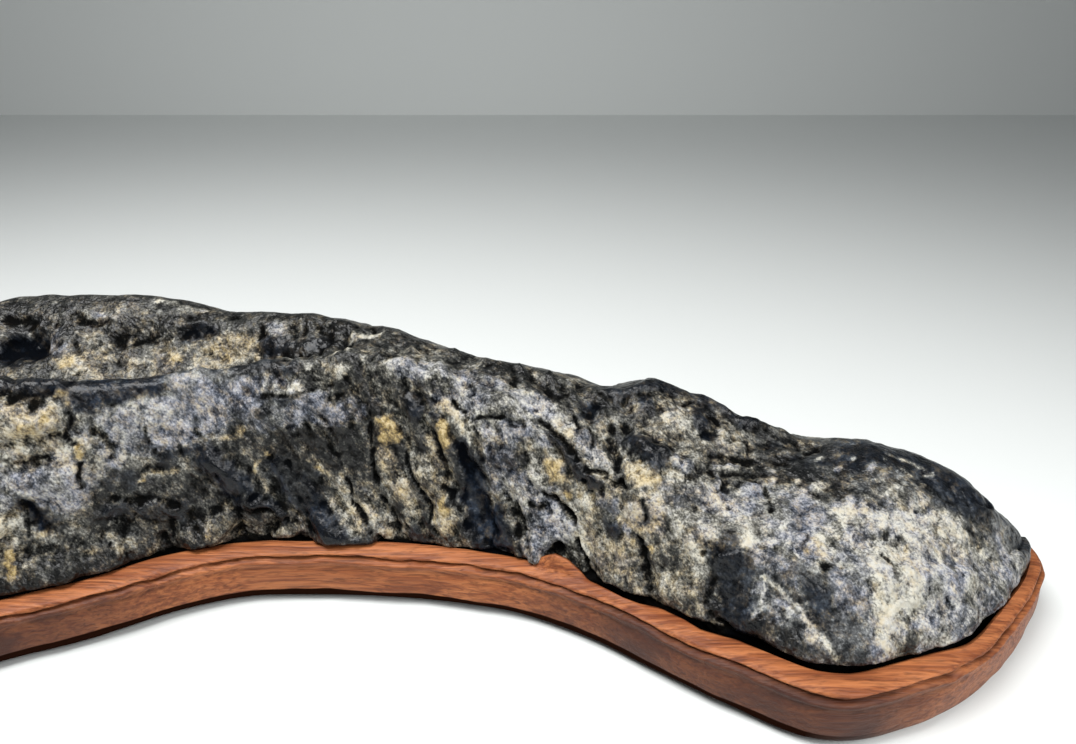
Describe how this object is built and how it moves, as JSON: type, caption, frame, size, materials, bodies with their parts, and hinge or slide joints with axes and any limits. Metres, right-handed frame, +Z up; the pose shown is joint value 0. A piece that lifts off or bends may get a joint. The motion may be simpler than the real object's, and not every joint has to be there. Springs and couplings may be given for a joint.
{
  "type": "viewing stone on stand",
  "caption": "Long crescent-shaped natural stone with twisted folds and a rounded head, resting in a carved hardwood stand cut to its footprint, with a grooved rim and low feet.",
  "frame": {"origin": "middle of the stand's underside, on the surface that it rests on", "axes": "+X along the stone towards its narrow head, +Z up; -Y is the hollow front side of the crescent"},
  "size_m": [0.255, 0.0852, 0.0443],
  "materials": {
    "stone": "water-worn blue-black rock with a satin polish, mottled with cream, grey and ochre mineral crust",
    "hardwood": "red-brown oiled rosewood, fine dark pores along the grain, satin"
  },
  "bodies": {
    "root": {"stone": "stone", "stand": "hardwood"}
  },
  "joints": []
}
